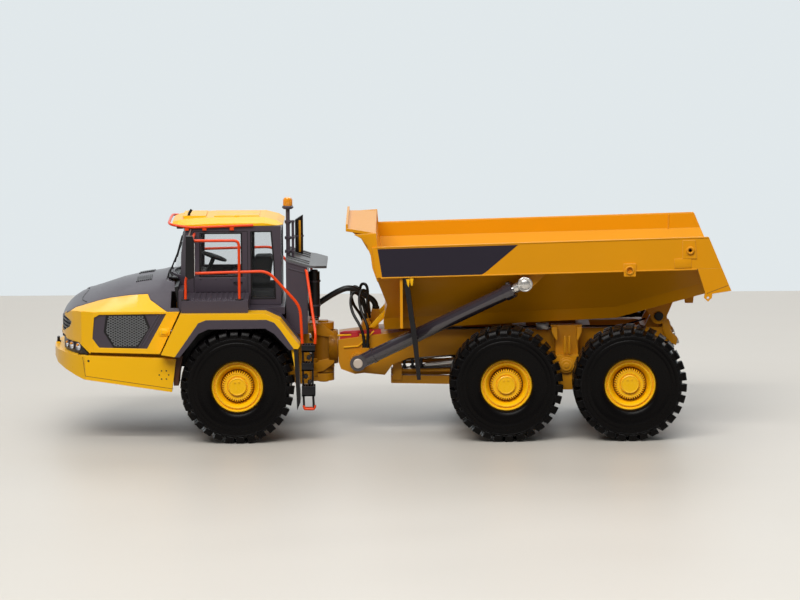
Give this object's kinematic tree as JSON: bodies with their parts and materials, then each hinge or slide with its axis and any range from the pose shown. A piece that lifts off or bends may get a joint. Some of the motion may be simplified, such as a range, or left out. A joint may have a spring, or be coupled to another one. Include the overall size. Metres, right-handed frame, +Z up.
{
  "type": "scale model of an articulated dump truck",
  "caption": "Die-cast scale model of a six-wheel articulated hauler with steering hitch, tipping body and opening hood.",
  "frame": {"origin": "middle of the footprint's bounding box, on the ground", "axes": "+X towards the tail, +Y to the truck's right, +Z up"},
  "size_m": [0.247, 0.086, 0.0865],
  "materials": {
    "body_yellow": "gloss",
    "dump_yellow": "gloss",
    "frame_yellow": "gloss",
    "dark_plastic": "satin",
    "black_plastic": "matte",
    "tyre": "matte",
    "rim_yellow": "gloss",
    "glass": "clear",
    "rail_orange": "gloss",
    "red_paint": "gloss",
    "barrel_dark": "gloss",
    "chrome": "polished",
    "amber": "clear",
    "lamp": "clear",
    "grey_lid": "satin",
    "hose": "matte"
  },
  "bodies": {
    "rear_frame": {"rear_frame": "frame_yellow", "bogie_brackets": "frame_yellow", "bogie_beams": "frame_yellow", "rear_axles": "frame_yellow", "drag_rods": "frame_yellow", "lock_bar": "red_paint", "hose_rack": "frame_yellow", "lift_hoses": "hose"},
    "hitch": {"hitch_block": "frame_yellow", "heat_hose_front": "hose", "heat_hose_rear": "hose"},
    "front_unit": {"front_chassis": "frame_yellow", "front_axle": "frame_yellow", "bumper": "body_yellow", "lamp_bar": "black_plastic", "headlamps": "lamp", "fenders": "body_yellow", "fender_lips": "dark_plastic", "deck": "dark_plastic", "cab_shell": "dark_plastic", "cab_glass": "glass", "cab_roof": "body_yellow", "roof_rail": "rail_orange", "cab_interior": "black_plastic", "mirrors": "black_plastic", "handrails": "rail_orange", "steps": "black_plastic", "mudflaps": "black_plastic", "rear_cabinet": "dark_plastic", "cabinet_lid": "grey_lid", "canister": "black_plastic", "exhaust_stack": "black_plastic", "beacon_mast": "dark_plastic", "beacon_lens": "amber", "engine_block": "frame_yellow"},
    "hood": {"hood_shell": "body_yellow", "hood_top": "dark_plastic", "side_grilles": "dark_plastic", "front_grille": "black_plastic"},
    "dump_body": {"dump_body": "dump_yellow", "spill_guard": "dump_yellow", "cheek_left": "dump_yellow", "cheek_right": "dump_yellow", "mud_guards": "black_plastic"},
    "barrel_left": {"barrel_left": "barrel_dark"},
    "barrel_right": {"barrel_right": "barrel_dark"},
    "rod_left": {"rod_left": "chrome"},
    "rod_right": {"rod_right": "chrome"},
    "wheel_front_left": {"tyre_front_left": "tyre", "rim_front_left": "rim_yellow"},
    "wheel_front_right": {"tyre_front_right": "tyre", "rim_front_right": "rim_yellow"},
    "wheel_middle_left": {"tyre_middle_left": "tyre", "rim_middle_left": "rim_yellow"},
    "wheel_middle_right": {"tyre_middle_right": "tyre", "rim_middle_right": "rim_yellow"},
    "wheel_rear_left": {"tyre_rear_left": "tyre", "rim_rear_left": "rim_yellow"},
    "wheel_rear_right": {"tyre_rear_right": "tyre", "rim_rear_right": "rim_yellow"}
  },
  "joints": [
    {"name": "roll", "type": "hinge", "parent": "rear_frame", "child": "hitch", "pos_m": [-0.019, 0, 0.0296], "axis": [1, 0, 0], "range_deg": [-12, 12], "deforming": ["heat_hose_rear"]},
    {"name": "steer", "type": "hinge", "parent": "hitch", "child": "front_unit", "pos_m": [-0.0245, 0, 0.028], "axis": [0, 0, 1], "range_deg": [-45, 45], "deforming": ["heat_hose_front"]},
    {"name": "hood_lid", "type": "hinge", "parent": "front_unit", "child": "hood", "pos_m": [-0.1193, 0, 0.0364], "axis": [0, -1, 0], "range_deg": [0, 60]},
    {"name": "tip", "type": "hinge", "parent": "rear_frame", "child": "dump_body", "pos_m": [0.0988, 0, 0.0422], "axis": [0, 1, 0], "range_deg": [0, 70]},
    {"name": "cylinder_swing_left", "type": "hinge", "parent": "rear_frame", "child": "barrel_left", "pos_m": [-0.0115, -0.0208, 0.0263], "axis": [-0.498, -0.5901, 0.6355], "range_deg": [0, 8.37]},
    {"name": "cylinder_slide_left", "type": "slide", "parent": "barrel_left", "child": "rod_left", "axis": [0.8615, -0.2528, 0.4403], "range_m": [0, 0.05792]},
    {"name": "cylinder_swing_right", "type": "hinge", "parent": "rear_frame", "child": "barrel_right", "pos_m": [-0.0115, 0.0208, 0.0263], "axis": [0.498, -0.5901, -0.6355], "range_deg": [0, 8.37]},
    {"name": "cylinder_slide_right", "type": "slide", "parent": "barrel_right", "child": "rod_right", "axis": [0.8615, 0.2528, 0.4403], "range_m": [0, 0.05792]},
    {"name": "spin_front_left", "type": "hinge", "parent": "front_unit", "child": "wheel_front_left", "pos_m": [-0.055, -0.0345, 0.0206], "axis": [0, 1, 0], "continuous": true},
    {"name": "spin_front_right", "type": "hinge", "parent": "front_unit", "child": "wheel_front_right", "pos_m": [-0.055, 0.0345, 0.0206], "axis": [0, 1, 0], "continuous": true},
    {"name": "spin_middle_left", "type": "hinge", "parent": "rear_frame", "child": "wheel_middle_left", "pos_m": [0.04225, -0.0345, 0.0206], "axis": [0, 1, 0], "continuous": true},
    {"name": "spin_middle_right", "type": "hinge", "parent": "rear_frame", "child": "wheel_middle_right", "pos_m": [0.04225, 0.0345, 0.0206], "axis": [0, 1, 0], "continuous": true},
    {"name": "spin_rear_left", "type": "hinge", "parent": "rear_frame", "child": "wheel_rear_left", "pos_m": [0.087, -0.0345, 0.0206], "axis": [0, 1, 0], "continuous": true},
    {"name": "spin_rear_right", "type": "hinge", "parent": "rear_frame", "child": "wheel_rear_right", "pos_m": [0.087, 0.0345, 0.0206], "axis": [0, 1, 0], "continuous": true}
  ],
  "couplings": [
    {"joint": "cylinder_swing_left", "follows": "tip", "ratio": 0.11936},
    {"joint": "cylinder_slide_left", "follows": "tip", "m_per_rad": 0.047391},
    {"joint": "cylinder_swing_right", "follows": "tip", "ratio": 0.11936},
    {"joint": "cylinder_slide_right", "follows": "tip", "m_per_rad": 0.047391}
  ]
}
